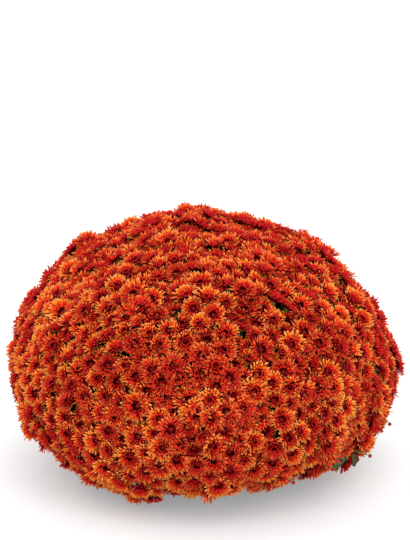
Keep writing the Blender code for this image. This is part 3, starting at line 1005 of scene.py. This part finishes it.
def basal_leaf_rings(compass):
    """A basal leaf's rings: at each station its upper side from left to right, then its lower side.

    The midrib comes down from the crown to the surface with the power 1.6 of what is left of its
    length. The half width is the stalk's, and along the blade a sine, cut by a raised cosine into
    lobes and by a faster one into teeth. The margin lies higher than the midrib, in small waves.
    """
    share = np.linspace(0.005, 0.995, BASAL_STATIONS)
    length = BASAL_REACH - BASAL_FOOT
    blade = np.clip((share * length - (length - BASAL_BLADE)) / BASAL_BLADE, 0, 1)
    lobes = 1 - 0.34 * (0.5 + 0.5 * np.cos(2 * np.pi * BASAL_LOBES * blade))
    teeth = 1 - 0.10 * (0.5 + 0.5 * np.cos(2 * np.pi * BASAL_TEETH * blade))
    half = BASAL_HALF_WIDTH * np.sin(np.pi * blade**0.8) ** 0.7 * lobes * teeth
    half = np.maximum(half, BASAL_STALK_HALF_WIDTH)[:, None]
    column = np.linspace(-1, 1, BASAL_COLUMNS)
    lift = 0.0006 + BASAL_FOOT_HEIGHT * (1 - share) ** 1.6
    waves = np.sin(2 * np.pi * 2.5 * blade[:, None] + 1.5 * column) * column**2
    margin = BASAL_WAVE * (waves + column**2) * (blade > 0)[:, None]
    x = np.broadcast_to((BASAL_FOOT + length * share)[:, None], margin.shape)
    z = lift[:, None] + 0.10 * half * np.abs(column) + margin
    thick = BASAL_THICKNESS * np.sqrt(np.maximum(1 - column**2, 0))
    lower = np.stack([x, half * column, z], -1)
    upper = lower + thick[:, None] * [0, 0, 1]
    x, y, z = np.moveaxis(np.concatenate([upper, lower[:, -2:0:-1]], axis=1)[:, ::-1], -1, 0)
    cosine, sine = np.cos(compass), np.sin(compass)
    return np.stack([x * cosine - y * sine, x * sine + y * cosine, z], -1)[None]


for index in range(BASAL_LEAF_COUNT):
    rings = basal_leaf_rings(2 * np.pi * (index + 0.3) / BASAL_LEAF_COUNT)
    shares = np.linspace(0.01, 0.99, BASAL_STATIONS)
    points, faces, uv = skinned(rings, (rings[:, 0].mean(1), rings[:, -1].mean(1)), shares)
    # Round the ring, the lower side comes first and runs back to where the upper side starts.
    around = uv[:, 0] / 0.9 % 1.0
    lower_share = (BASAL_COLUMNS - 2) / (2 * BASAL_COLUMNS - 2)
    is_lower = (around.reshape(-1, 3).max(1) <= lower_share)[:, None].repeat(3, 1).ravel()
    across = np.where(is_lower, around / lower_share, (1 - around) / (1 - lower_share)).clip(0.02, 0.98)
    # Each basal leaf takes the next column of the leaf chart, and so its own level between painted shade
    # and painted light.
    uv = np.stack([(index % LEAF_TINTS + (is_lower + across) / 2) / LEAF_TINTS, uv[:, 1]], -1)
    label = f"basal_leaf_{index + 1:02d}"
    piece(f"{label}_blade", (points, faces, uv), leaf_tissue, label)

# ----------
# Woody crown
# The stump that all the stems grow from: a round head on a short neck, cut off flat below. Its bark
# is thin, grey-brown and furrowed lengthwise, and its cut end shows pale wood.

CROWN_HEIGHT = 0.0538
CROWN_NECK_RADIUS = 0.0214
CROWN_NECK = [(0.0178, SURFACE_CLEARANCE), (0.0196, 0.0040), (0.0214, 0.0080), (0.0214, 0.0130)]
CROWN_BARK_RADIUS = 0.0239
CROWN_FURROW = 0.0010
CROWN_SIDES = 44
CROWN_STATIONS = 20
CUT_END_SHARE = 0.08  # of the chart's height, for the cut end
BARK_COLOURS = [(0.3, "#241A12"), (0.45, "#4C3A2A"), (0.6, "#6E5A44"), (0.75, "#8A7860")]
# From the pith outwards, as shares of the cut end
WOOD_COLOURS = [(0, "#8A6E48"), (0.25, "#CBB084"), (0.8, "#BFA274"), (1, "#6A5034")]


def bark_material():
    """Thin old bark: the chart's v is the cut end below CUT_END_SHARE and the bark above it."""
    made, shader = principled("old stem bark", Roughness=0.85, Specular_IOR_Level=0.2)
    chart, split = chart_place(made)
    long_way = node(made, "VectorMath", chart, {1: (30, 5, 1)}, operation="MULTIPLY")
    furrows = node(made, "TexNoise", long_way, {"Scale": 1.0, "Detail": 5, "Distortion": 0.5})
    bark = node(made, "ValToRGB", furrows, ramp=BARK_COLOURS)
    v = split.outputs[1]
    on_bark = node(made, "Math", v, {1: CUT_END_SHARE}, operation="GREATER_THAN")
    grain = [(share * CUT_END_SHARE, colour) for share, colour in WOOD_COLOURS]
    wood = node(made, "ValToRGB", v, ramp=grain)
    body = node(made, "Mix", {0: on_bark, 6: wood, 7: bark}, data_type="RGBA")
    relief = node(made, "Bump", {"Height": furrows}, {"Strength": 0.5, "Distance": 0.0008})
    wired(shader, {"Base Color": body, "Normal": relief})
    return made


# The section runs from the cut end's rim up the neck, then round the head's arc to near its top.
neck_angle = np.pi - np.arcsin(CROWN_NECK_RADIUS / CROWN_RADIUS)
head_arc = np.linspace(neck_angle, 0.12, CROWN_STATIONS - len(CROWN_NECK))
head_section = CROWN_BARK_RADIUS * np.stack([np.sin(head_arc), np.cos(head_arc)], -1)
section = np.concatenate([CROWN_NECK, head_section + [0, CROWN_CENTRE[2]]])
radius, height = section[:, :1], section[:, 1:]
# Furrows up to a millimetre deep: two sets that wander round the crown as they rise.
turn = 2 * np.pi * np.arange(CROWN_SIDES) / CROWN_SIDES
furrow = 0.5 + 0.3 * np.sin(14 * turn + 3 * np.sin(height * 140)) + 0.2 * np.sin(25 * turn - height * 260)
rings = carried_round(radius - CROWN_FURROW * furrow * radius / CROWN_RADIUS, height, turn)
ends = (np.array([[0, 0, SURFACE_CLEARANCE]]), np.array([[0, 0, CROWN_HEIGHT]]))
along = np.concatenate([[CUT_END_SHARE], np.linspace(0.1, 1, CROWN_STATIONS - 1)])
points, faces, uv = skinned(rings[None], ends, along)
uv = np.where((faces.ravel() == 0)[:, None], [0.5, 0.0], uv)
piece("woody_crown_bark", (points, faces, uv), bark_material(), "woody_crown")

# ----------
# Floor, light and camera
# A pale translucent sweep lit faintly from below, which keeps the shadow under the plant light, a
# white sky and one large soft lamp.

SKY_STRENGTH = 1.78
KEY_STRENGTH = 3.05
KEY_WIDTH = np.radians(60)
KEY_WAY = Vector((-0.1, 1.2, -0.9))
CAMERA_DISTANCE = 2.4
CAMERA_LENS = 69.2
CAMERA_ELEVATION = np.radians(15)
CAMERA_PIVOT = Vector((0, 0, 0.2))
CAMERA_AIM = Vector((0.006, 0, 0.319))


def studio_object(name, data, way):
    """A lamp or camera that looks along a direction."""
    made = bpy.data.objects.new(name, data)
    made.rotation_euler = way.to_track_quat("-Z", "Y").to_euler()
    bpy.context.scene.collection.objects.link(made)
    return made


sweep, sweep_shader = principled("opal acrylic sweep", Roughness=0.95, Base_Color="#AEAEAE")
wired(sweep_shader, {}, {"Emission Color": "#FFFFFF", "Emission Strength": 0.25})
bpy.ops.mesh.primitive_plane_add(size=60)
floor = bpy.context.object
floor.name = "floor"
floor.data.materials.append(sweep)

world = bpy.data.worlds.new("studio")
world.use_nodes = True
wired(world.node_tree.nodes["Background"], {}, {0: "#FFFFFF", 1: SKY_STRENGTH})
bpy.context.scene.world = world

key = studio_object("key", bpy.data.lights.new("key", "SUN"), KEY_WAY)
key.data.angle = KEY_WIDTH
key.data.energy = KEY_STRENGTH

rise, back = np.sin(CAMERA_ELEVATION), np.cos(CAMERA_ELEVATION)
stand = CAMERA_PIVOT + CAMERA_DISTANCE * Vector((0, -back, rise))
camera = studio_object("camera", bpy.data.cameras.new("camera"), CAMERA_AIM - stand)
camera.location = stand
camera.data.sensor_fit = "VERTICAL"
camera.data.lens = CAMERA_LENS
bpy.context.scene.camera = camera
bpy.context.scene.view_settings.view_transform = "Standard"
